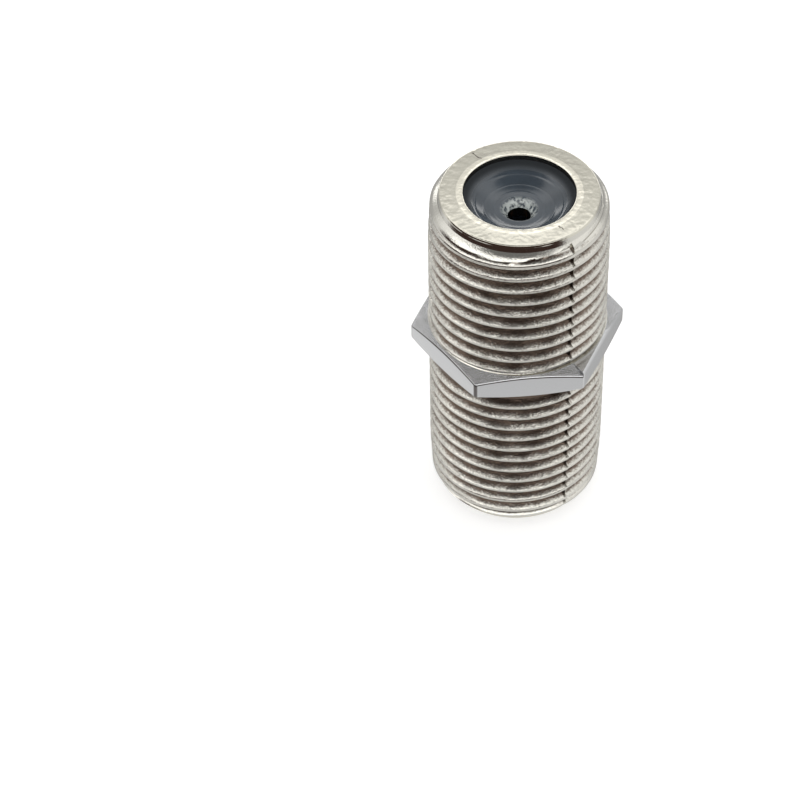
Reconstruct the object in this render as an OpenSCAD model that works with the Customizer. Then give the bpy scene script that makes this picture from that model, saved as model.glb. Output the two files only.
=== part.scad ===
// Coaxial barrel coupler: one die-cast threaded shell with an off-centre hexagon collar,
// an insulator in each mouth and one double-ended spring contact between them.
// Millimetres. The axis is Z, the long end stands on Z = 0 and two hexagon flats face +Y and -Y.

/* [Thread] */
// Diameter over the thread crests
thread_d = 9.38; // [9.2:0.02:9.6]
// Distance between two crests, 32 turns to the inch
thread_pitch = 0.79375; // [0.77375:0.005:0.83375]
// Depth of the groove below the crests
thread_depth = 0.44; // [0.36:0.01:0.48]
// Flat left on top of each crest
crest_flat = 0.12; // [0.08:0.01:0.16]
// Direction from +X in which the crest on the short end leaves the collar
short_thread_start = 194; // [0:1:359]
// Direction from +X in which the crest on the long end leaves the collar
long_thread_start = 24; // [0:1:359]

/* [Shell] */
// Length of the long end, from its end face to the collar
long_end = 10.2; // [9:0.1:14]
// Length of the short end, from the collar to its end face
short_end = 8.4; // [7.5:0.1:12]
// Length over which the last crests get lower towards the nose
lead_l = 2.35; // [1.5:0.05:3]
// How much lower, radially, the crests are at the end of that lead
lead_drop = 0.2; // [0.1:0.01:0.3]
// Length of the steep chamfer that ends the thread
chamfer_l = 0.32; // [0.2:0.02:0.5]
// Plain nose between the chamfer and the end face
nose_l = 0.43; // [0.3:0.01:1]
// How far the plain nose lies below the root of the thread, radially
nose_drop = 0.07; // [0.05:0.01:0.12]
// Bevel round the end face
face_bevel = 0.08; // [0.05:0.01:0.15]

/* [Mouth] */
// Diameter of the mouth inside the rolled lip
mouth_d = 5.75; // [5:0.05:5.8]
// Thickness of the rolled lip along the axis
lip_t = 0.3; // [0.2:0.05:0.5]
// How far the lip reaches in over the bore that holds the insulators
lip_reach = 0.075; // [0.07:0.005:0.2]

/* [Collar] */
// Width across the hexagon flats
hex_af = 9.8; // [9.7:0.05:11.2]
// Thickness of the hexagon at the middle of its flats
hex_t = 1.4; // [1.2:0.1:2.4]
// Slope of the chamfers that take down the hexagon's corners above and below, in degrees
hex_chamfer = 17; // [10:1:30]
// Radius of the hexagon's upright corners
hex_corner_r = 0.15; // [0.1:0.05:0.6]

/* [Insulator] */
// Radial clearance between an insulator and the bore
insulator_clearance = 0.03; // [0.02:0.01:0.06]
// Width of the dished slope, from the plastic rim in to the flat floor
slope_w = 0.775; // [0.5:0.025:1]
// Depth of the dished slope below the plastic rim
dish_l = 0.7; // [0.4:0.05:1]
// Step from the foot of the slope down to the floor
floor_step = 0.17; // [0.05:0.01:0.3]
// Diameter of the funnel where it opens in the floor
funnel_d = 1.85; // [1.5:0.05:2.4]
// Depth of the funnel
funnel_l = 0.43; // [0.2:0.01:0.6]
// Diameter of the hole for the centre conductor
hole_d = 1.16; // [1:0.02:1.3]
// Length of that hole behind the funnel
hole_l = 0.5; // [0.3:0.05:1]
// Diameter of the chamber that houses the contact
chamber_d = 2.9; // [2.7:0.05:3.4]

/* [Contact] */
// Thickness of the spring strip
strip_t = 0.2; // [0.15:0.01:0.25]
// Width of one spring arm
arm_w = 0.9; // [0.7:0.05:1]
// Radial clearance between the rolled sleeve and the chamber
sleeve_clearance = 0.05; // [0.03:0.01:0.1]
// Length of the rolled sleeve in the middle
sleeve_l = 5; // [3:0.5:6]
// Width of the open seam along the sleeve
seam_w = 0.4; // [0.2:0.05:0.6]
// Gap between two arms where they pinch the conductor
pinch_gap = 0.3; // [0.2:0.05:0.5]
// Length of the flared tip beyond the pinch
flare_l = 0.9; // [0.6:0.1:1.2]
// How far a tip opens outwards over that length
flare_w = 0.3; // [0.2:0.05:0.4]
// Distance that the arm tips stop short of the chamber's end
tip_clearance = 0.25; // [0.2:0.05:0.4]

/* [Hidden] */

flank_angle = 30;
steps_per_turn = 40;
ridge_margin = 0.1;
cut_over = 1;
total_l = long_end + hex_t + short_end;

crest_r = thread_d / 2;
root_r = crest_r - thread_depth;
nose_r = root_r - nose_drop;
foot_r = root_r - ridge_margin;
top_r = crest_r + ridge_margin;
foot_w = crest_flat / 2 + (crest_r - foot_r) * tan(flank_angle);
top_w = crest_flat / 2 - (top_r - crest_r) * tan(flank_angle);
ridge_bottom = -foot_w - ridge_margin;

bore_d = mouth_d + 2 * lip_reach;
dish_floor_d = mouth_d - 2 * slope_w;
insulator_r = bore_d / 2 - insulator_clearance;
insulator_l = total_l / 2 - lip_t;
floor_z = insulator_l - dish_l - floor_step;
chamber_l = floor_z - funnel_l - hole_l;
sleeve_r = chamber_d / 2 - sleeve_clearance;
arm_tip_z = chamber_l - tip_clearance;

$fn = 96;

// One threaded end with the collar's face at Z = 0: a core with the thread wound on it, and both
// turned down to the blank's outline. turn_sense is 1 for a thread that climbs anticlockwise, the
// right-hand way, and -1 for an end that is then mirrored over
module threaded_end(length, start_angle, turn_sense) {
    intersection() {
        union() {
            translate([0, 0, -cut_over])
                cylinder(h = length + 2 * cut_over, r = root_r);
            rotate(start_angle)
                thread_ridge(length, turn_sense);
        }
        turned_blank(length);
    }
}

// Outline of an end before its thread is cut: it starts inside the collar, and has crests, a lead,
// a chamfer, a nose and a bevelled end face
module turned_blank(length) {
    nose_z = length - nose_l;
    lead_z = nose_z - chamfer_l;
    rotate_extrude()
        polygon([
            [0, -hex_t / 3],
            [crest_r, -hex_t / 3],
            [crest_r, lead_z - lead_l],
            [crest_r - lead_drop, lead_z],
            [nose_r, nose_z],
            [nose_r, length - face_bevel],
            [nose_r - face_bevel, length],
            [0, length]
        ]);
}

// Corners of the ridge's section with its crest at height z: foot, flank, flank, foot
function ridge_section(z) = [
    [foot_r, z - foot_w],
    [top_r, z - top_w],
    [top_r, z + top_w],
    [foot_r, z + foot_w]
];

// The thread as one solid that climbs out of the collar. Its foot is buried in the core, and its
// top stands proud of the crests until the blank's outline cuts it down
module thread_ridge(top, turn_sense) {
    steps = ceil((top - ridge_bottom) / thread_pitch * steps_per_turn);
    points = [
        for (i = [0:steps])
            let (z = ridge_bottom + i * (top - ridge_bottom) / steps)
            let (angle = turn_sense * 360 * z / thread_pitch)
            for (p = ridge_section(z)) [p[0] * cos(angle), p[0] * sin(angle), p[1]]
    ];
    sides = [
        for (i = [0:steps - 1], k = [0:3])
            let (a = 4 * i + k, b = 4 * i + (k + 1) % 4)
            each [[a, b + 4, a + 4], [a, b, b + 4]]
    ];
    last = 4 * steps;
    caps = [[0, 2, 1], [0, 3, 2], [last, last + 1, last + 2], [last, last + 2, last + 3]];
    faces = concat(sides, caps);
    polyhedron(points, turn_sense > 0 ? faces : [for (f = faces) [f[2], f[1], f[0]]]);
}

// Hexagon with rounded upright corners, flats on +Y and -Y. It is turned down to a double cone, so
// that each flat is highest in its middle
module hex_collar() {
    tip_r = hex_af / 2 / cos(30);
    drop = (tip_r - hex_af / 2) * tan(hex_chamfer);
    intersection() {
        linear_extrude(hex_t)
            offset(r = hex_corner_r, $fn = 48)
                offset(delta = -hex_corner_r)
                    circle(r = tip_r, $fn = 6);
        rotate_extrude()
            polygon([
                [0, 0],
                [hex_af / 2, 0],
                [tip_r, drop],
                [tip_r, hex_t - drop],
                [hex_af / 2, hex_t],
                [0, hex_t]
            ]);
    }
}

// Die-cast zinc shell, nickel plated: collar, two threaded ends and a lip rolled in at each mouth
module barrel() {
    color("silver")
        difference() {
            union() {
                translate([0, 0, long_end])
                    mirror([0, 0, 1])
                        threaded_end(long_end, long_thread_start, -1);
                translate([0, 0, long_end])
                    hex_collar();
                translate([0, 0, long_end + hex_t])
                    threaded_end(short_end, short_thread_start, 1);
            }
            translate([0, 0, lip_t])
                cylinder(h = total_l - 2 * lip_t, d = bore_d);
            translate([0, 0, -cut_over])
                cylinder(h = total_l + 2 * cut_over, d = mouth_d);
        }
}

// One moulded insulator with its back at Z = 0 and its dished face up
module insulator() {
    color("dimgray")
        rotate_extrude()
            polygon([
                [chamber_d / 2, 0],
                [insulator_r, 0],
                [insulator_r, insulator_l],
                [mouth_d / 2, insulator_l],
                [dish_floor_d / 2, insulator_l - dish_l],
                [dish_floor_d / 2, floor_z],
                [funnel_d / 2, floor_z],
                [hole_d / 2, floor_z - funnel_l],
                [hole_d / 2, chamber_l],
                [chamber_d / 2, chamber_l]
            ]);
}

module upper_insulator() {
    translate([0, 0, total_l / 2])
        insulator();
}

module lower_insulator() {
    translate([0, 0, total_l / 2])
        mirror([0, 0, 1])
            insulator();
}

// One spring arm on +X: it leaves the sleeve, closes on the conductor and flares at its tip
module spring_arm() {
    overlap_l = 0.3;
    root_inset = 0.04;
    pinch_lead_l = 0.4;
    pinch_lead_w = 0.05;
    root_x = sleeve_r - strip_t - root_inset;
    pinch_x = (pinch_gap + strip_t) / 2;
    pinch_z = arm_tip_z - flare_l;
    centre_line = [
        [root_x, sleeve_l / 2 - overlap_l],
        [root_x, sleeve_l / 2],
        [pinch_x + pinch_lead_w, pinch_z - pinch_lead_l],
        [pinch_x, pinch_z],
        [pinch_x + flare_w, arm_tip_z]
    ];
    outer = [for (p = centre_line) p + [strip_t / 2, 0]];
    inner = [for (i = [len(centre_line) - 1:-1:0]) centre_line[i] - [strip_t / 2, 0]];
    rotate([90, 0, 0])
        translate([0, 0, -arm_w / 2])
            linear_extrude(arm_w)
                polygon(concat(outer, inner));
}

// Spring contact stamped from one strip: a seamed sleeve with a pair of arms at each end
module centre_contact() {
    color("goldenrod")
        translate([0, 0, total_l / 2]) {
            difference() {
                cylinder(h = sleeve_l, r = sleeve_r, center = true);
                cylinder(h = sleeve_l + cut_over, r = sleeve_r - strip_t, center = true);
                translate([-seam_w / 2, 0, -sleeve_l])
                    cube([seam_w, chamber_d, 2 * sleeve_l]);
            }
            for (end = [0, 1], side = [0, 180])
                mirror([0, 0, end])
                    rotate(side)
                        spring_arm();
        }
}

barrel();
upper_insulator();
lower_insulator();
centre_contact();
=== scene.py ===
import math

import bpy
import numpy as np
from mathutils import Matrix, Vector


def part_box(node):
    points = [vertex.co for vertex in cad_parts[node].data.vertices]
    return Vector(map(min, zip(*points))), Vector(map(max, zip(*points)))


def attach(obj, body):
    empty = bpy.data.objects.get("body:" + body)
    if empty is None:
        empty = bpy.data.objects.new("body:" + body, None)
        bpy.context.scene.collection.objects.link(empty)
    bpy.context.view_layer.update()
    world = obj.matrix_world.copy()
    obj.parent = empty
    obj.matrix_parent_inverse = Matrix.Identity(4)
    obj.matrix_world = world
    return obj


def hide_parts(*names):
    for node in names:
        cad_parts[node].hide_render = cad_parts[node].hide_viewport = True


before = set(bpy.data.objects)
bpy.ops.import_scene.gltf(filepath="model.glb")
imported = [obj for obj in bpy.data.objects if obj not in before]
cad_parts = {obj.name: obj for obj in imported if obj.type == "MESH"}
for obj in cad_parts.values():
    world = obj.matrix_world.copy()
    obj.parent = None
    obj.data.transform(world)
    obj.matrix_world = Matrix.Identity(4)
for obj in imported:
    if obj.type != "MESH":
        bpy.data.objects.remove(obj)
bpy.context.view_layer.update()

# --- Shell -------------------------------------------------------------------------------------
# One zinc die casting, nickel plated: hexagon collar, a threaded end on either side of it and a
# lip rolled over the insulator at each mouth. It was cast in two die halves that meet in a
# parting plane through two corners of the hexagon, where the halves don't quite line up.

MM = 0.001
PER_MM = 1 / MM

# Sizes are in millimetres and angles in degrees. Directions count anticlockwise from +X, and
# heights from the lower end face.
shell_low, shell_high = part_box("barrel")
total_l = (shell_high.z - shell_low.z) / MM
long_end = 10.2

hex_t = 1.4
hex_chamfer = 17
hex_af = (shell_high.y - shell_low.y) / MM
hex_corner_r = 0.15
hex_edge_r = 0.13
hex_bottom = long_end
hex_top = long_end + hex_t

crest_r = 4.69
thread_depth = 0.44
root_r = crest_r - thread_depth
pitch = 0.79375
crest_flat = 0.12
flank_slope = 1 / math.tan(math.radians(30))
crest_round = 0.055
root_round = 0.05
# Rounding where the thread's core meets the collar
fillet = 0.04
# Direction in which the crest on each end leaves the collar
upper_start, lower_start = 194, 24

# Towards an end face the crests get lower over the lead, and the last one is a broad brow. A
# steep shoulder and a tapered nose follow.
lead_l, lead_drop = 2.35, 0.12
chamfer_l = 0.32
brow_w, brow_l, brow_rise = 0.3, 0.16, 0.16
# Distances from the end face between which a crest broadens, and gets narrow again
brow_grows, brow_fades = (0.75, 0.65), (0.34, 0.2)
shoulder_l, shoulder_r = 0.142, 4.4
nose_l, nose_r, face_r = 0.43, 4.18, 4.1

mouth_r = 2.875
bore_r = 2.95
lip_t = 0.3

# The die halves meet in this direction and opposite it. The half that follows anticlockwise sits
# a little higher, and its grooves are partly filled where they leave the parting line.
parting_azimuth = 300
half_shift = 0.03
web_height = 0.2
web_reach = 14
web_everywhere = 0.03
# Just before the parting line the groove is cut deeper, between these degrees past the last one
crevice_depth = 0.13
crevice_from, crevice_to = 178.3, 179.95
# Share by which the collar's corner at the parting line is fuller, and where that fades out
fuller_corner = 0.85
fuller_to = (22, 50)


def azimuths():
    """Directions of the mesh's columns, closer at the hexagon's corners and the parting line."""
    even = np.arange(0, 360, 1.8)
    corners = [60 * k + step for k in range(6) for step in (-1.0, -0.6, -0.3, 0.3, 0.6, 1.0)]
    parting = [
        parting_azimuth + 180 * k + step
        for k in range(2)
        for step in (-2.0, -1.75, -1.6, -0.12, 0.12, 1.2)
    ]
    return np.unique(np.mod(np.concatenate([even, corners, parting]), 360))


theta = azimuths()


def right_half(angle):
    """1 on the die half that follows the parting line anticlockwise, 0 on the other one."""
    return np.where(np.mod(angle - parting_azimuth, 360) < 180, 1.0, 0.0)


def hex_radius(angle):
    """Distance from the axis to the hexagon's outline, with its corners rounded."""
    from_corner = np.radians(30 - np.abs(np.mod(angle, 60) - 30))
    flat = hex_af / 2 / np.cos(np.radians(30) - from_corner)
    core = hex_af / 2 - hex_corner_r
    centre = core / math.cos(math.radians(30))
    side = np.clip(centre * np.sin(from_corner) / hex_corner_r, -1, 1)
    arc = centre * np.cos(from_corner) + hex_corner_r * np.sqrt(1 - side**2)
    tangent = math.radians(30) - math.atan(core * math.tan(math.radians(30)) / (hex_af / 2))
    return np.where(from_corner < tangent, arc, flat)


def soft_min(a, b, width):
    """The smaller of two values, with a soft passage where they cross."""
    h = np.clip(0.5 + 0.5 * (b - a) / width, 0, 1)
    return b * (1 - h) + a * h - width * h * (1 - h)


def soft_max(a, b, width):
    return -soft_min(-a, -b, width)


def smooth(value, start, end):
    """0 before start, 1 after end, with a soft passage between them."""
    x = np.clip((value - start) / (end - start), 0, 1)
    return x * x * (3 - 2 * x)


def blank_radius(along, length):
    """Outline of an end before its thread is cut, at a distance from the collar."""
    nose_z = length - nose_l
    lead_z = nose_z - chamfer_l
    shoulder_z = nose_z - shoulder_l
    stations = [0, lead_z - lead_l, lead_z, shoulder_z - brow_l, shoulder_z, nose_z, length]
    radii = [crest_r, crest_r, crest_r - lead_drop, shoulder_r + brow_rise, shoulder_r, nose_r,
             face_r]
    return np.interp(along, stations, radii)


def thread_radius(angle, along, length, start, sense):
    """Radius of a threaded end. along is the distance from the collar, and sense is 1 where the
    thread climbs away from the collar anticlockwise and -1 where it does so clockwise."""
    half = right_half(angle)
    shifted = along - sense * half_shift * half
    wound = np.mod(sense * (angle - start), 360) / 360
    turn = np.round(shifted / pitch - wound) + wound
    ridge = 0
    for centre in (turn * pitch, (turn + 1) * pitch):
        broad = brow_w * smooth(centre, length - brow_grows[0], length - brow_grows[1])
        broad = broad * (1 - smooth(centre, length - brow_fades[0], length - brow_fades[1]))
        before = np.maximum(centre - shifted - broad, 0)
        away = np.where(shifted < centre, before, shifted - centre)
        flank = crest_r - flank_slope * np.maximum(away - crest_flat / 2, 0)
        ridge = np.maximum(ridge, flank)
    past = np.mod(angle - parting_azimuth, 180)
    floor = root_r + web_height * np.exp(-past / web_reach) * half + web_everywhere * half
    crevice = crevice_depth * np.where((past > crevice_from) & (past < crevice_to), 1.0, 0.0)
    # The crests themselves stay whole
    ridge = ridge - crevice * smooth(crest_r - ridge, 0.02, 0.1)
    radius = soft_max(ridge, floor - crevice, root_round)
    return soft_min(radius, blank_radius(along, length), crest_round)


def lower_radius(angle, z):
    return thread_radius(angle, long_end - z, long_end, lower_start, -1)


def upper_radius(angle, z):
    return thread_radius(angle, z - hex_top, total_l - hex_top, upper_start, 1)


# Heights of a turn's rows of points, from its crest
row_offsets = np.array([-0.33, -0.28, -0.21, -0.14, -0.085, -0.06, -0.03, 0.03, 0.06, 0.085,
                        0.14, 0.21, 0.28, 0.33, 0.39])


def thread_block(low, high, crest_z, radius_at):
    """Rows of (radius, height) that climb with the thread, cut off level at low and high. Row j of
    the last column goes on as row j + shift of the first one."""
    shift = len(row_offsets)
    base = crest_z + pitch * np.floor((low - crest_z) / pitch - 2)
    count = int(math.ceil((high - base) / pitch)) + 2
    rows = (base + pitch * np.arange(count)[:, None] + row_offsets[None, :]).ravel()
    z = rows[:, None] + pitch * theta[None, :] / 360 + half_shift * right_half(theta)[None, :]
    z = np.clip(z, low, high)
    return radius_at(theta[None, :] + 0 * z, z), z, shift


def level(points):
    """Rows of plain rings from a list of (radius, height); a radius may vary round the axis."""
    r = np.array([p[0] + 0 * theta for p in points])
    z = np.array([p[1] + 0 * theta for p in points])
    return r, z, 0


def end_face(mouth_z, up):
    """Section of one mouth and end ring, from the bore outwards; up is 1 at the top end. The lip
    ends in a rolled bead, and the ring round it falls away a little to its rounded edge."""
    lip = [(bore_r, lip_t), (mouth_r, lip_t)]
    bead = [(mouth_r, 0.06), (2.879, 0.03), (2.892, 0.01), (2.92, 0), (3.03, 0), (3.12, 0.001),
            (3.2, 0.006), (3.28, 0.013)]
    ring = [(3.4 + 0.1 * i, 0.02 + 0.0045 * i) for i in range(7)]
    edge = [(4.04, 0.051), (4.07, 0.058), (4.09, 0.072), (face_r, 0.095)]
    return [(r, mouth_z - up * depth) for r, depth in lip + bead + ring + edge]


def collar():
    """Section of the hexagon from its lower to its upper face: flat out to the circle that touches
    the flats, chamfered beyond it, and rounded at the edges."""
    outline = hex_radius(theta)
    drop = math.tan(math.radians(hex_chamfer)) * np.maximum(outline - hex_af / 2, 0)
    # The half that starts at the parting line's corner was cast fuller there, nearly flat on top
    past = np.mod(theta - parting_azimuth, 360)
    filled = fuller_corner * (1 - smooth(past, *fuller_to)) * smooth(past, 0.05, 0.12)
    upper_drop = drop * (1 - filled)
    inside = outline - hex_edge_r
    flat_r = np.minimum(inside, hex_af / 2 - hex_edge_r)
    low_z, high_z = hex_bottom + drop + hex_edge_r, hex_top - upper_drop - hex_edge_r
    below = [(lower_radius(theta, hex_bottom - fillet) + fillet, hex_bottom), (flat_r, hex_bottom)]
    above = [(flat_r, hex_top), (upper_radius(theta, hex_top + fillet) + fillet, hex_top)]
    lower, upper = [], []
    for i in range(9):
        a = math.radians(90 * i / 8)
        lower.append((inside + hex_edge_r * math.sin(a), low_z - hex_edge_r * math.cos(a)))
        upper.append((inside + hex_edge_r * math.cos(a), high_z + hex_edge_r * math.sin(a)))
    return below + lower + upper + above


def new_piece(name, points, faces, sharp_angle):
    """Object with a smooth-shaded mesh, creased where it bends by more than sharp_angle."""
    mesh = bpy.data.meshes.new(name)
    mesh.from_pydata(points, [], faces)
    mesh.validate()
    for polygon in mesh.polygons:
        polygon.use_smooth = True
    mesh.set_sharp_from_angle(angle=math.radians(sharp_angle))
    piece = bpy.data.objects.new(name, mesh)
    bpy.context.scene.collection.objects.link(piece)
    return piece


def wrapped_piece(name, blocks):
    """Joins the blocks' rows into one closed skin round the axis, and the last row to the first."""
    columns = len(theta)
    turn = np.radians(theta)[None, :]
    points, bases, faces = [], [], []
    for r, z, _ in blocks:
        bases.append(sum(len(p) for p in points))
        points.append(np.stack([r * np.cos(turn), r * np.sin(turn), z], 2).reshape(-1, 3))
    for (r, _, shift), base in zip(blocks, bases):
        last = len(r) - 1
        for j in range(last):
            for i in range(columns):
                if i < columns - 1:
                    a, b = base + j * columns + i + 1, base + (j + 1) * columns + i + 1
                else:
                    a = base + min(j + shift, last) * columns
                    b = base + min(j + 1 + shift, last) * columns
                faces.append((base + j * columns + i, a, b, base + (j + 1) * columns + i))
    for k in range(len(blocks)):
        here = bases[k] + (len(blocks[k][0]) - 1) * columns
        there = bases[(k + 1) % len(blocks)]
        for i in range(columns):
            n = (i + 1) % columns
            faces.append((here + i, here + n, there + n, there + i))
    # Points that coincide are merged, and faces that lose their area with that are left out
    points = np.concatenate(points)
    _, first, merged = np.unique(np.round(points, 6), axis=0, return_index=True,
                                 return_inverse=True)
    merged = merged.ravel()
    kept = []
    for face in faces:
        ring = list(dict.fromkeys(int(v) for v in merged[list(face)]))
        if len(ring) > 2:
            kept.append(ring)
    return new_piece(name, (points[first] * MM).tolist(), kept, sharp_angle=38)


def linear(hex_colour):
    """Linear RGBA of an sRGB colour written as RRGGBB."""
    channels = [int(hex_colour[i : i + 2], 16) / 255 for i in (0, 2, 4)]
    return [c / 12.92 if c <= 0.04045 else ((c + 0.055) / 1.055) ** 2.4 for c in channels] + [1.0]


def node(tree, kind, sockets=None, output=0, **settings):
    """Adds a shader node with its settings, and sets each socket or links another node's output to
    it. Returns the output that is asked for, or the node itself where output is None."""
    added = tree.nodes.new("ShaderNode" + kind)
    for key, value in settings.items():
        setattr(added, key, value)
    for key, value in (sockets or {}).items():
        if isinstance(value, bpy.types.NodeSocket):
            tree.links.new(value, added.inputs[key])
        else:
            added.inputs[key].default_value = value
    return added if output is None else added.outputs[output]


def empty_material(name):
    """A material with no nodes yet, and its tree."""
    material = bpy.data.materials.new(name)
    material.use_nodes = True
    material.node_tree.nodes.clear()
    return material, material.node_tree


def distance_from_axis(tree, place):
    flat = node(tree, "VectorMath", {0: place, 1: (1, 1, 0)}, operation="MULTIPLY")
    return node(tree, "VectorMath", {0: flat}, "Value", operation="LENGTH")


def nickel_plate():
    """Bright nickel on a sandy zinc casting. It gives the crests and the collar's flats a warm
    white shine, the rolled bead a burnished near-white that is partly a painted highlight, and the
    roots of the thread and the band under the collar a dull brown that is painted shade."""
    material, tree = empty_material("bright_nickel_plate_on_zinc")
    place = node(tree, "TexCoord", output="Object")
    z = node(tree, "SeparateXYZ", {"Vector": place}, "Z")
    radius = distance_from_axis(tree, place)
    half_l = total_l / 2
    above_middle = node(tree, "Math", {0: z, 1: half_l * MM}, operation="SUBTRACT")
    from_middle = node(tree, "Math", {0: above_middle}, operation="ABSOLUTE")

    # Distances from the axis along the parting line, across it, and towards a worn corner
    ways = []
    for azimuth in (parting_azimuth, parting_azimuth + 90, 240):
        way = (math.cos(math.radians(azimuth)), math.sin(math.radians(azimuth)), 0)
        ways.append(node(tree, "VectorMath", {0: place, 1: way}, "Value", operation="DOT_PRODUCT"))
    along, across, to_corner = ways

    # Casting grain of a tenth of a millimetre and finer, patches of it nearly a millimetre wide,
    # and dents of four tenths of a millimetre that rolling the lip left on the end rings
    sand = node(tree, "TexNoise",
                {"Vector": place, "Scale": 9.5 * PER_MM, "Detail": 3.0, "Roughness": 0.65}, "Fac")
    patch = node(tree, "TexNoise",
                 {"Vector": place, "Scale": 1.1 * PER_MM, "Detail": 2.0, "Roughness": 0.5}, "Fac")
    dents = node(tree, "TexNoise", {"Vector": place, "Scale": 2.6 * PER_MM, "Detail": 1.0}, "Fac")
    sandy = node(tree, "Math", {0: sand, 1: 0.5}, operation="SUBTRACT")
    patchy = node(tree, "Math", {0: patch, 1: 0.5}, operation="SUBTRACT")

    # Crests get lower towards the ends, so the groove is measured from the outline of the blank,
    # and the painted shade in its root has a ragged edge
    lead_end = half_l - nose_l - chamfer_l
    ragged = node(tree, "MapRange", {
        "Value": from_middle, "From Min": (lead_end - lead_l) * MM, "From Max": lead_end * MM,
        "To Max": lead_drop * MM})
    ragged = node(tree, "Math", {0: radius, 1: ragged}, operation="ADD")
    # The seam wanders a little on its way across the end rings
    drift = across
    for noise, on_edge, on_seam in ((sandy, 0.45, 0.2), (patchy, 0.2, 0.6)):
        ragged = node(tree, "Math", {0: noise, 1: on_edge * MM, 2: ragged},
                      operation="MULTIPLY_ADD")
        drift = node(tree, "Math", {0: noise, 1: on_seam * MM, 2: drift},
                     operation="MULTIPLY_ADD")
    drift = node(tree, "Math", {0: drift}, operation="ABSOLUTE")

    # Zones of the shell: what they are measured along, where the passage starts and ends, and their
    # value before and after it
    zones = {}
    for name, measure, start, end, before, after in (
        ("root_shade", ragged, 4.4, 4.66, 1.0, 0.0),
        ("threads", from_middle, half_l - 0.8, half_l - 0.72, 1.0, 0.0),
        ("rubbed", from_middle, half_l - 1.25, half_l - 0.95, 1.0, 0.4),
        ("rings", from_middle, half_l - 0.2, half_l - 0.15, 0.0, 1.0),
        ("faces", from_middle, half_l - 0.15, half_l - 0.1, 0.0, 1.0),
        ("below_collar", z, hex_bottom - 0.6, hex_bottom - 0.4, 0.0, 1.0),
        ("in_collar_shade", radius, 4.7, 4.8, 1.0, 0.0),
        ("collar", radius, 4.7, 4.76, 0.0, 1.0),
        ("within_collar", radius, 4.66, 4.72, 1.0, 0.1),
        ("outside_ring", radius, face_r, 4.2, 0.35, 1.0),
        ("bead", radius, 3.2, 3.27, 1.0, 0.0),
        ("lip_wall", radius, 2.878, 2.886, 0.85, 0.0),
        ("seam", drift, 0.015, 0.04, 1.0, 0.0),
        ("nick_in", along, 3.2, 3.26, 0.0, 1.0),
        ("nick_out", along, 3.55, 3.62, 1.0, 0.0),
        ("crease_out", along, -3.95, -3.88, 0.0, 1.0),
        ("crease_in", along, -3.25, -3.2, 1.0, 0.0),
        ("fuller_half", across, 0.0, 0.05, 0.0, 1.0),
        ("fuller_side", along, 3.6, 3.9, 0.0, 1.0),
        ("corner", to_corner, 5.58, 5.62, 0.0, 1.0),
    ):
        zones[name] = node(tree, "MapRange", {
            "Value": measure, "From Min": start * MM, "From Max": end * MM,
            "To Min": before, "To Max": after}, interpolation_type="SMOOTHSTEP")

    # The faces of the collar are as cast, and its flats are smooth
    facing = node(tree, "NewGeometry", output="Normal")
    facing = node(tree, "SeparateXYZ", {"Vector": facing}, "Z")
    facing = node(tree, "Math", {0: facing}, operation="ABSOLUTE")
    facing = node(tree, "MapRange", {"Value": facing, "From Min": 0.75, "From Max": 0.9})
    cast_collar = node(tree, "Math", {0: zones["collar"], 1: facing}, operation="MULTIPLY")

    # Painted shade in the root of the thread and under the collar: a dull brown colour with a
    # rougher finish
    root_and_collar_shade = node(tree, "Math", {0: zones["root_shade"], 1: zones["threads"]}, operation="MULTIPLY")
    under = node(tree, "Math", {0: z, 1: (hex_bottom - 0.01) * MM}, operation="LESS_THAN")
    under = node(tree, "Math", {0: under, 1: zones["in_collar_shade"]}, operation="MULTIPLY")
    under = node(tree, "Math", {0: under, 1: zones["below_collar"]}, operation="MULTIPLY")
    root_and_collar_shade = node(tree, "Math", {0: root_and_collar_shade, 1: under}, operation="MAXIMUM")

    # Dark marks: the seam opened in a nick and a crease while the lip was rolled, painted shade on
    # the wall of the lip, and one corner of the collar worn to the zinc along its edge
    nick = node(tree, "Math", {0: zones["nick_in"], 1: zones["nick_out"]}, operation="MULTIPLY")
    crease = node(tree, "Math", {0: zones["crease_out"], 1: zones["crease_in"]},
                  operation="MULTIPLY")
    reach = node(tree, "Math", {0: nick, 1: crease}, operation="MAXIMUM")
    seam = node(tree, "Math", {0: zones["seam"], 1: reach}, operation="MULTIPLY")
    seam = node(tree, "Math", {0: seam, 1: zones["faces"]}, operation="MULTIPLY")
    worn = node(tree, "MapRange", {"Value": cast_collar, "To Min": 0.8, "To Max": 0.1})
    worn = node(tree, "Math", {0: zones["corner"], 1: worn}, operation="MULTIPLY")
    marks_and_lip_shade = node(tree, "Math", {0: seam, 1: zones["lip_wall"]}, operation="MAXIMUM")
    marks_and_lip_shade = node(tree, "Math", {0: marks_and_lip_shade, 1: worn}, operation="MAXIMUM")

    # The rolled bead is burnished, and its near-white colour is partly a painted highlight
    burnished_and_highlight = node(tree, "Math", {0: zones["bead"], 1: zones["rings"]}, operation="MULTIPLY")
    colour = linear("D4D2CB")
    for share, hex_colour in ((zones["collar"], "CDCED0"), (zones["rings"], "D8D5C9"),
                              (burnished_and_highlight, "F6F2E4"), (root_and_collar_shade, "6E6056"), (marks_and_lip_shade, "3E332D")):
        colour = node(tree, "Mix", {"Factor": share, "A": colour, "B": linear(hex_colour)},
                      "Result", data_type="RGBA")

    rough = node(tree, "MapRange", {"Value": root_and_collar_shade, "To Min": 0.13, "To Max": 0.26})
    rough = node(tree, "Math", {0: cast_collar, 1: 0.12, 2: rough}, operation="MULTIPLY_ADD")

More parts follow.
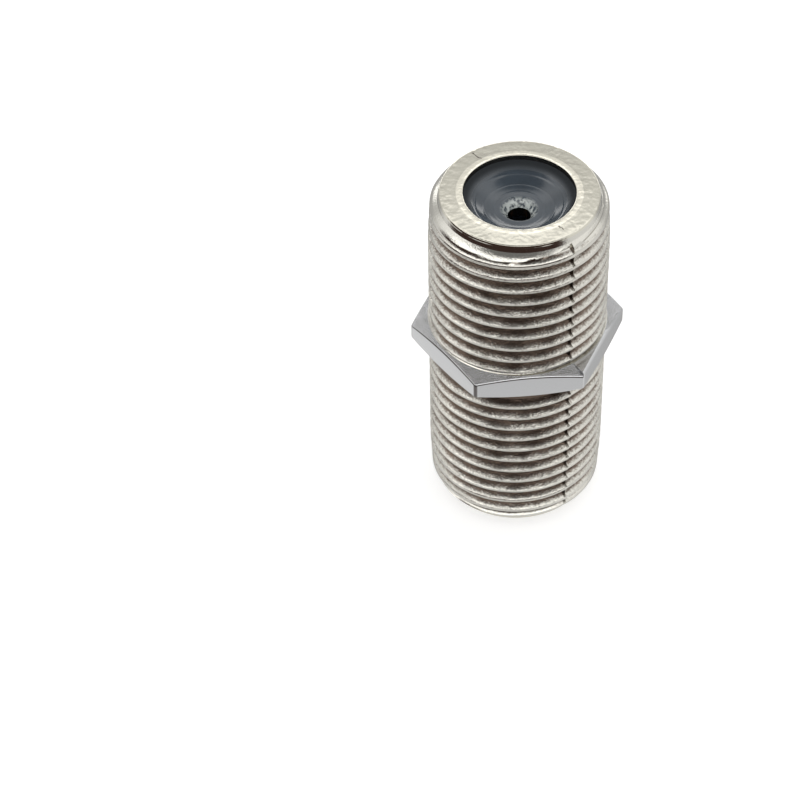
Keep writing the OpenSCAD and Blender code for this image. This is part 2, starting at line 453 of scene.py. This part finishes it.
    # Depth of the grain: full on the thread in uneven patches, weak on the rings, the nose and the
    # brow, and deepest on the faces of the collar, but for its fuller corner, which is smooth
    rough_side = node(tree, "Math", {0: zones["within_collar"], 1: cast_collar},
                      operation="MAXIMUM")
    uneven = node(tree, "MapRange", {
        "Value": patch, "From Min": 0.3, "From Max": 0.7, "To Min": 0.45, "To Max": 1.3},
        interpolation_type="SMOOTHSTEP")
    grain = node(tree, "Math", {0: rough_side, 1: zones["outside_ring"]}, operation="MULTIPLY")
    grain = node(tree, "Math", {0: grain, 1: uneven}, operation="MULTIPLY")
    grain = node(tree, "Math", {0: grain, 1: zones["rubbed"]}, operation="MULTIPLY")
    fuller = node(tree, "Math", {0: zones["fuller_half"], 1: zones["fuller_side"]},
                  operation="MULTIPLY")
    fuller_cast = node(tree, "Math", {0: fuller, 1: cast_collar}, operation="MULTIPLY")
    filled = node(tree, "MapRange", {"Value": fuller_cast, "To Min": 1.0, "To Max": 0.1})
    grain = node(tree, "Math", {0: grain, 1: filled}, operation="MULTIPLY")
    pits = node(tree, "MapRange", {"Value": fuller, "To Min": 4.0, "To Max": 0.2})
    grain = node(tree, "Math", {0: cast_collar, 1: pits, 2: grain}, operation="MULTIPLY_ADD")

    rolled = node(tree, "Math", {0: dents, 1: zones["rings"]}, operation="MULTIPLY")
    height = node(tree, "Math", {0: patch, 1: 2.0, 2: sand}, operation="MULTIPLY_ADD")
    height = node(tree, "Math", {0: rolled, 1: 7.0, 2: height}, operation="MULTIPLY_ADD")
    bump = node(tree, "Bump", {"Height": height, "Strength": grain, "Distance": 0.03 * MM})
    surface = node(tree, "BsdfPrincipled",
                   {"Base Color": colour, "Roughness": rough, "Normal": bump, "Metallic": 1.0})
    node(tree, "OutputMaterial", {"Surface": surface}, None)
    return material


shell = wrapped_piece("nickel_plated_shell", [
    level(end_face(0, -1)),
    thread_block(nose_l, long_end - fillet, long_end - pitch * lower_start / 360, lower_radius),
    level(collar()),
    thread_block(hex_top + fillet, total_l - nose_l, hex_top - pitch * upper_start / 360,
                 upper_radius),
    level(list(reversed(end_face(total_l, 1)))),
])
shell.data.materials.append(nickel_plate())
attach(shell, "root")
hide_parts("barrel")

# --- Insulators --------------------------------------------------------------------------------
# One moulding of dark grey plastic in each mouth, held by the rolled lip. Its face is a smooth dish
# with faint turning rings, and a funnel in the middle leads the centre conductor to the contact.

insulator_r = 2.92
dish_rim_r = 2.86
dish_depth = 0.84
# The dish is steep near its rim and level near the funnel, which opens with a round edge
dish_power, funnel_power = 2.1, 1.5
funnel_rim_r, funnel_depth = 0.98, 0.45
hole_r, hole_l = 0.58, 0.5
chamber_r = 1.45
# Turning rings in the dish: radius, width and depth
dish_rings = [(2.29, 0.05, -0.022), (1.79, 0.06, 0.016), (1.3, 0.05, 0.01)]


def dish(r):
    """Depth of the dished face below its rim."""
    share = (r - funnel_rim_r) / (dish_rim_r - funnel_rim_r)
    rings = sum(deep * math.exp(-(((r - at) / wide) ** 2)) for at, wide, deep in dish_rings)
    return dish_depth * (1 - share**dish_power) + rings


def insulator_profile():
    """(radius, depth below the rim) from the back's outer edge over the face to the chamber."""
    back = total_l / 2 - lip_t
    points = [(chamber_r, back), (insulator_r, back), (insulator_r, 0.03),
              (insulator_r - 0.01, 0.005), (dish_rim_r + 0.02, 0.0), (dish_rim_r, 0.015)]
    dish_steps, funnel_steps = 60, 12
    for i in range(1, dish_steps + 1):
        r = dish_rim_r + (funnel_rim_r - dish_rim_r) * i / dish_steps
        points.append((r, dish(r)))
    foot = points[-1][1]
    for i in range(1, funnel_steps + 1):
        share = i / funnel_steps
        r = funnel_rim_r + (hole_r - funnel_rim_r) * share
        points.append((r, foot + funnel_depth * share**funnel_power))
    hole_z = foot + funnel_depth
    return points + [(hole_r - 0.005, hole_z + 0.03), (hole_r, hole_z + 0.08),
                     (hole_r, hole_z + hole_l), (chamber_r, hole_z + hole_l)]


def turned_piece(name, profile, columns):
    """Closed ring swept round the axis from (radius, height) points in millimetres."""
    points, faces = [], []
    count = len(profile)
    for i in range(columns):
        turn = 2 * math.pi * i / columns
        points += [(r * MM * math.cos(turn), r * MM * math.sin(turn), z * MM) for r, z in profile]
    for i in range(columns):
        here, there = i * count, (i + 1) % columns * count
        for k in range(count):
            n = (k + 1) % count
            faces.append((here + k, there + k, there + n, here + n))
    return new_piece(name, points, faces, sharp_angle=50)


def insulator_plastic():
    """Plastic from a polished mould. It gives a blue-grey gloss with a clear reflection in the
    dish, painted shade as a dull dark rim under the lip and as a black hole, and pale specks of
    painted highlight in the funnel."""
    material, tree = empty_material("dark_grey_moulded_plastic")
    place = node(tree, "TexCoord", output="Object")
    radius = distance_from_axis(tree, place)
    # Clouds in the plastic a millimetre wide, and specks of painted highlight a fifth of one
    cloud = node(tree, "TexNoise", {"Vector": place, "Scale": 0.9 * PER_MM, "Detail": 3.0}, "Fac")
    specks = node(tree, "TexNoise", {"Vector": place, "Scale": 5.0 * PER_MM, "Detail": 2.0}, "Fac")

    # Painted shade: the dish gets darker and duller towards its rim, under the lip
    rim = node(tree, "MapRange", {"Value": radius, "From Min": 2.3 * MM, "From Max": 2.75 * MM},
               interpolation_type="SMOOTHSTEP")
    in_funnel = node(tree, "MapRange", {
        "Value": radius, "From Min": 0.7 * MM, "From Max": 1.05 * MM, "To Min": 1.0, "To Max": 0.0},
        interpolation_type="SMOOTHSTEP")
    # Painted highlight: pale specks in the funnel
    highlight_specks = node(tree, "MapRange", {"Value": specks, "From Min": 0.35, "From Max": 0.6},
                   interpolation_type="SMOOTHSTEP")
    # Painted shade: the wall of the hole is near black
    outside = node(tree, "Math", {0: radius, 1: (hole_r + 0.005) * MM}, operation="GREATER_THAN")
    hole = node(tree, "Math", {0: 1.0, 1: outside}, operation="SUBTRACT")
    funnel_highlight = node(tree, "Math", {0: in_funnel, 1: highlight_specks}, operation="MULTIPLY")

    tint = linear("303942")
    for share, hex_colour in ((cloud, "434F5B"), (rim, "2C3034"), (funnel_highlight, "D2D8D6"),
                              (hole, "0C0D0E")):
        tint = node(tree, "Mix", {"Factor": share, "A": tint, "B": linear(hex_colour)}, "Result",
                    data_type="RGBA")

    rough = node(tree, "MapRange", {"Value": cloud, "To Min": 0.12, "To Max": 0.28})
    rough = node(tree, "Math", {0: rough, 1: rim}, operation="MAXIMUM")
    coat = node(tree, "MapRange", {"Value": rim, "To Min": 0.5, "To Max": 0.0})
    bump = node(tree, "Bump", {"Height": cloud, "Strength": 0.35, "Distance": 0.04 * MM})
    surface = node(tree, "BsdfPrincipled", {
        "Base Color": tint, "Roughness": rough, "Normal": bump, "Coat Weight": coat, "IOR": 1.58,
        "Coat Roughness": 0.1})
    node(tree, "OutputMaterial", {"Surface": surface}, None)
    return material


plastic = insulator_plastic()
for name, up in (("upper_insulator", 1), ("lower_insulator", -1)):
    rim_z = total_l - lip_t if up == 1 else lip_t
    profile = [(r, rim_z - up * depth) for r, depth in insulator_profile()]
    insulator = turned_piece("dished_" + name, profile if up == 1 else list(reversed(profile)), 144)
    insulator.data.materials.append(plastic)
    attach(insulator, "root")
    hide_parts(name)

# --- Contact -----------------------------------------------------------------------------------
# One strip of brass, stamped and rolled into a sleeve with a pair of spring arms at each end. It
# sits loose in the insulators' chamber, and only its tips are seen through the holes.


def spring_brass():
    """Brass strip as it comes from the rolls. It gives a yellow shine with fine streaks."""
    material, tree = empty_material("plain_rolled_brass")
    place = node(tree, "TexCoord", output="Object")
    # Roll marks, a ninth of a millimetre wide and two millimetres long
    stretched = node(tree, "Mapping", {
        "Vector": place, "Scale": (9.0 * PER_MM, 9.0 * PER_MM, 0.5 * PER_MM)})
    streaks = node(tree, "TexNoise", {"Vector": stretched, "Scale": 1.0}, "Fac")
    tint = node(tree, "Mix", {"Factor": streaks, "A": linear("C9A766"), "B": linear("B08C4E")},
                "Result", data_type="RGBA")
    rough = node(tree, "MapRange", {"Value": streaks, "To Min": 0.22, "To Max": 0.4})
    surface = node(tree, "BsdfPrincipled",
                   {"Base Color": tint, "Roughness": rough, "Metallic": 1.0})
    node(tree, "OutputMaterial", {"Surface": surface}, None)
    return material


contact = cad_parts["centre_contact"]
brass = spring_brass()
for own_slot in contact.material_slots:
    own_slot.material = brass

# --- Stage -------------------------------------------------------------------------------------
# A sheet of white paper as the table, in a white tent. The tent's walls are lit in bands, and the
# bands that the plating mirrors give the thread its dark roots and bright flanks.


def paper_table():
    """Matt white paper. It gives the eye a clean white with the coupler's soft shadow, and metal
    mirrors the tent through it."""
    reach, just_below = 1.5, -0.00002
    corners = [(-reach, -reach, 0), (reach, -reach, 0), (reach, reach, 0), (-reach, reach, 0)]
    table = new_piece("table", corners, [(0, 1, 2, 3)], sharp_angle=30)
    table.location.z = just_below
    material, tree = empty_material("matt_white_paper")
    matt = node(tree, "BsdfDiffuse", {"Color": linear("E7E7E7")})
    seen = node(tree, "LightPath", output="Is Camera Ray")
    mirrored = node(tree, "LightPath", output="Is Glossy Ray")
    share = node(tree, "Math", {0: seen, 1: 0.5}, operation="MULTIPLY")
    glow = node(tree, "Emission", {"Strength": share, "Color": linear("FFFFFF")})
    both = node(tree, "AddShader", {0: matt, 1: glow})
    clear = node(tree, "BsdfTransparent")
    paper = node(tree, "MixShader", {0: mirrored, 1: both, 2: clear})
    node(tree, "OutputMaterial", {"Surface": paper}, None)
    table.data.materials.append(material)
    return table


paper_table()

# Direction of the tent's front from the coupler, and that of the middle of the dark gap in it
front_azimuth = math.radians(-98.08)
gap_azimuth = front_azimuth - math.radians(20)


def white_tent():
    """World light by direction: bright bands at the sides, a bright window low at the back, a dark
    gap at table height in front and a dim top."""
    world = bpy.data.worlds.new("white_tent")
    bpy.context.scene.world = world
    world.use_nodes = True
    tree = world.node_tree
    tree.nodes.clear()
    way = node(tree, "TexCoord", output="Generated")
    sine = node(tree, "SeparateXYZ", {"Vector": way}, "Z")
    sine = node(tree, "MapRange", {"Value": sine, "From Min": -1.0, "From Max": 1.0})

    # Brightness of each wall against the sine of the elevation; the dark parts are brown
    walls = {}
    for name, stops in (
        ("beside", [(-1, 0.85), (-0.66, 0.92), (-0.2, 0.9), (0.3, 0.82), (0.5, 1.15), (0.84, 1.15),
                    (0.91, 0.22), (1, 0.19)]),
        ("beyond", [(-1, 0.6), (-0.66, 0.5), (-0.3, 0.5), (0.05, 0.55), (0.5, 0.7), (0.64, 0.8),
                    (0.69, 0.93), (0.76, 1.42), (0.84, 1.36), (0.91, 0.22), (1, 0.19)]),
        ("window", [(-1, 0.6), (-0.66, 0.5), (-0.3, 0.5), (0.05, 0.55), (0.14, 2.4), (0.33, 2.4),
                    (0.43, 0.5), (0.64, 0.8), (0.69, 0.93), (0.76, 1.42), (0.84, 1.36),
                    (0.91, 0.22), (1, 0.19)]),
        ("before", [(-1, 0.78), (-0.52, 0.75), (-0.42, 0.05), (0.42, 0.05), (0.54, 1.9),
                    (0.77, 1.9), (0.84, 0.22), (1, 0.19)]),
    ):
        ramp = node(tree, "ValToRGB", {"Fac": sine}, None)
        while len(ramp.color_ramp.elements) < len(stops):
            ramp.color_ramp.elements.new(0.5)
        for element, (height, brightness) in zip(ramp.color_ramp.elements, stops):
            warmth = (1, 0.995, 0.98) if brightness > 0.1 else (1, 0.6, 0.5)
            element.position = (height + 1) / 2
            element.color = [brightness * channel for channel in warmth] + [1]
        walls[name] = ramp.outputs["Color"]

    # Each wall takes over from the one before it as the way leans from start to end towards its
    # azimuth
    tent = walls["beside"]
    for name, azimuth, start, end in (
        ("beyond", front_azimuth, -0.3, -0.6),
        ("window", front_azimuth, -0.7, -0.86),
        ("before", gap_azimuth, 0.05, 0.3),
    ):
        lean = node(tree, "VectorMath", {0: way, 1: (math.cos(azimuth), math.sin(azimuth), 0)},
                    "Value", operation="DOT_PRODUCT")
        share = node(tree, "MapRange", {"Value": lean, "From Min": start, "From Max": end},
                     interpolation_type="SMOOTHSTEP")
        tent = node(tree, "Mix", {"Factor": share, "A": tent, "B": walls[name]}, "Result",
                    data_type="RGBA")

    lit = node(tree, "Background", {"Color": tent, "Strength": 1.0})
    white = node(tree, "Background", {"Color": linear("FFFFFF"), "Strength": 1.0})
    seen = node(tree, "LightPath", output="Is Camera Ray")
    both = node(tree, "MixShader", {0: seen, 1: lit, 2: white})
    node(tree, "OutputWorld", {"Surface": both}, None)


white_tent()

# --- Camera ------------------------------------------------------------------------------------
# A long lens a hand's breadth and a half away, that looks down on the coupler from about 45 degrees
# above and is held a little askew.

camera_data = bpy.data.cameras.new("camera")
camera_data.sensor_width = 36
camera_data.lens = 117.84
camera_data.clip_start = 0.01
camera = bpy.data.objects.new("camera", camera_data)
bpy.context.scene.collection.objects.link(camera)
bpy.context.scene.camera = camera
camera.location = (-0.01420, -0.09999, 0.10617)
aim = Vector((-0.00652, -0.00244, 0.00828))
roll = math.radians(-1.472)
look = (aim - camera.location).to_track_quat("-Z", "Y").to_matrix()
camera.rotation_euler = (look @ Matrix.Rotation(roll, 3, "Z")).to_euler()

bpy.context.scene.view_settings.view_transform = "Standard"
